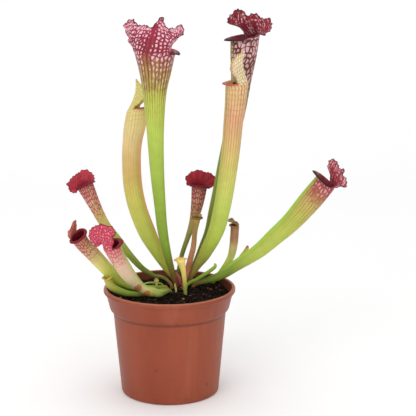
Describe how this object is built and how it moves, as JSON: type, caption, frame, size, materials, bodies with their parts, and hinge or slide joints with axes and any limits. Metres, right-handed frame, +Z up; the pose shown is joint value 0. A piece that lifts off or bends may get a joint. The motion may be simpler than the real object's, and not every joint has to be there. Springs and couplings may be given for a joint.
{
  "type": "potted pitcher plant",
  "caption": "Pitcher plant with tall netted trumpet leaves, frilled red hoods and small young leaves, rooted in dark soil in a round plastic nursery pot.",
  "frame": {"origin": "middle of the pot's base, on the surface it stands on", "axes": "+Z up along the pot's axis; +Y away from the side the plant is seen from; +X to that viewer's right"},
  "size_m": [0.249, 0.12, 0.3458],
  "materials": {
    "pot": "satin",
    "soil": "matte",
    "rhizome": "matte",
    "netted_leaf": "satin",
    "pale_leaf": "satin",
    "red_hooded_leaf": "satin",
    "leaf": "satin",
    "dry_leaf": "matte"
  },
  "bodies": {
    "root": {"pot": "pot", "soil": "soil", "rhizome": "rhizome", "pitcher_tall_front_left": "netted_leaf", "pitcher_tall_left": "pale_leaf", "pitcher_tall_right": "pale_leaf", "pitcher_tall_right_back": "netted_leaf", "pitcher_leaning_right": "netted_leaf", "pitcher_small_centre": "red_hooded_leaf", "pitcher_mid_left": "red_hooded_leaf", "pitcher_low_far_left": "leaf", "pitcher_low_front_left": "red_hooded_leaf", "pitcher_withered": "dry_leaf", "pitcher_small_right": "leaf", "pitcher_small_yellow": "leaf", "pitcher_yellow_left": "leaf", "bud_right": "leaf", "shoot_curled": "leaf", "pitcher_tiny_left": "leaf", "stem_thin_left": "leaf", "bud_front": "leaf", "bract_red": "leaf"}
  },
  "joints": []
}
